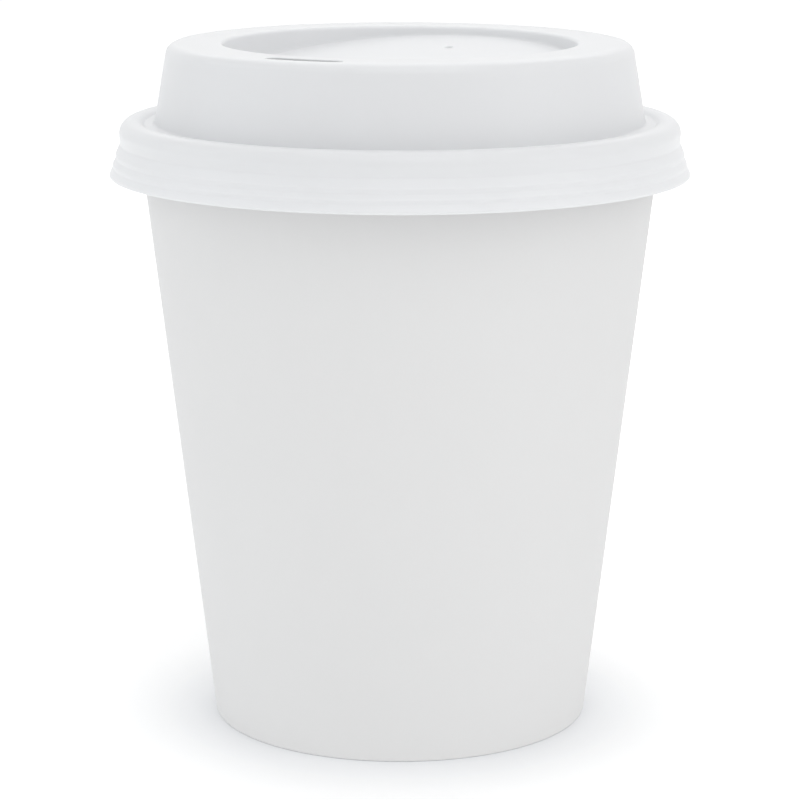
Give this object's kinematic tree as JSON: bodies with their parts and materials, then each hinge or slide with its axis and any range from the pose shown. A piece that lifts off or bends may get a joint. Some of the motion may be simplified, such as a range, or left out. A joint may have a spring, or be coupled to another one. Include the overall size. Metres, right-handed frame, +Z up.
{
  "type": "paper coffee cup",
  "caption": "Small single-wall paper hot-drink cup with a rolled rim and a push-on domed plastic sip lid.",
  "frame": {"origin": "centre of the base, on the surface that the cup stands on", "axes": "+Z up along the cup's axis; the lid's sip slot is at -Y and the wall's side seam at +Y"},
  "size_m": [0.084, 0.084, 0.0996],
  "materials": {
    "board": "matte white coated board",
    "lid_plastic": "satin white formed sheet"
  },
  "bodies": {
    "cup": {"side_wall": "board", "bottom_disc": "board"},
    "lid": {"sip_lid": "lid_plastic"}
  },
  "joints": [
    {"name": "lid_lift", "type": "slide", "parent": "cup", "child": "lid", "axis": [0, 0, 1], "range_m": [0, 0.03]}
  ]
}
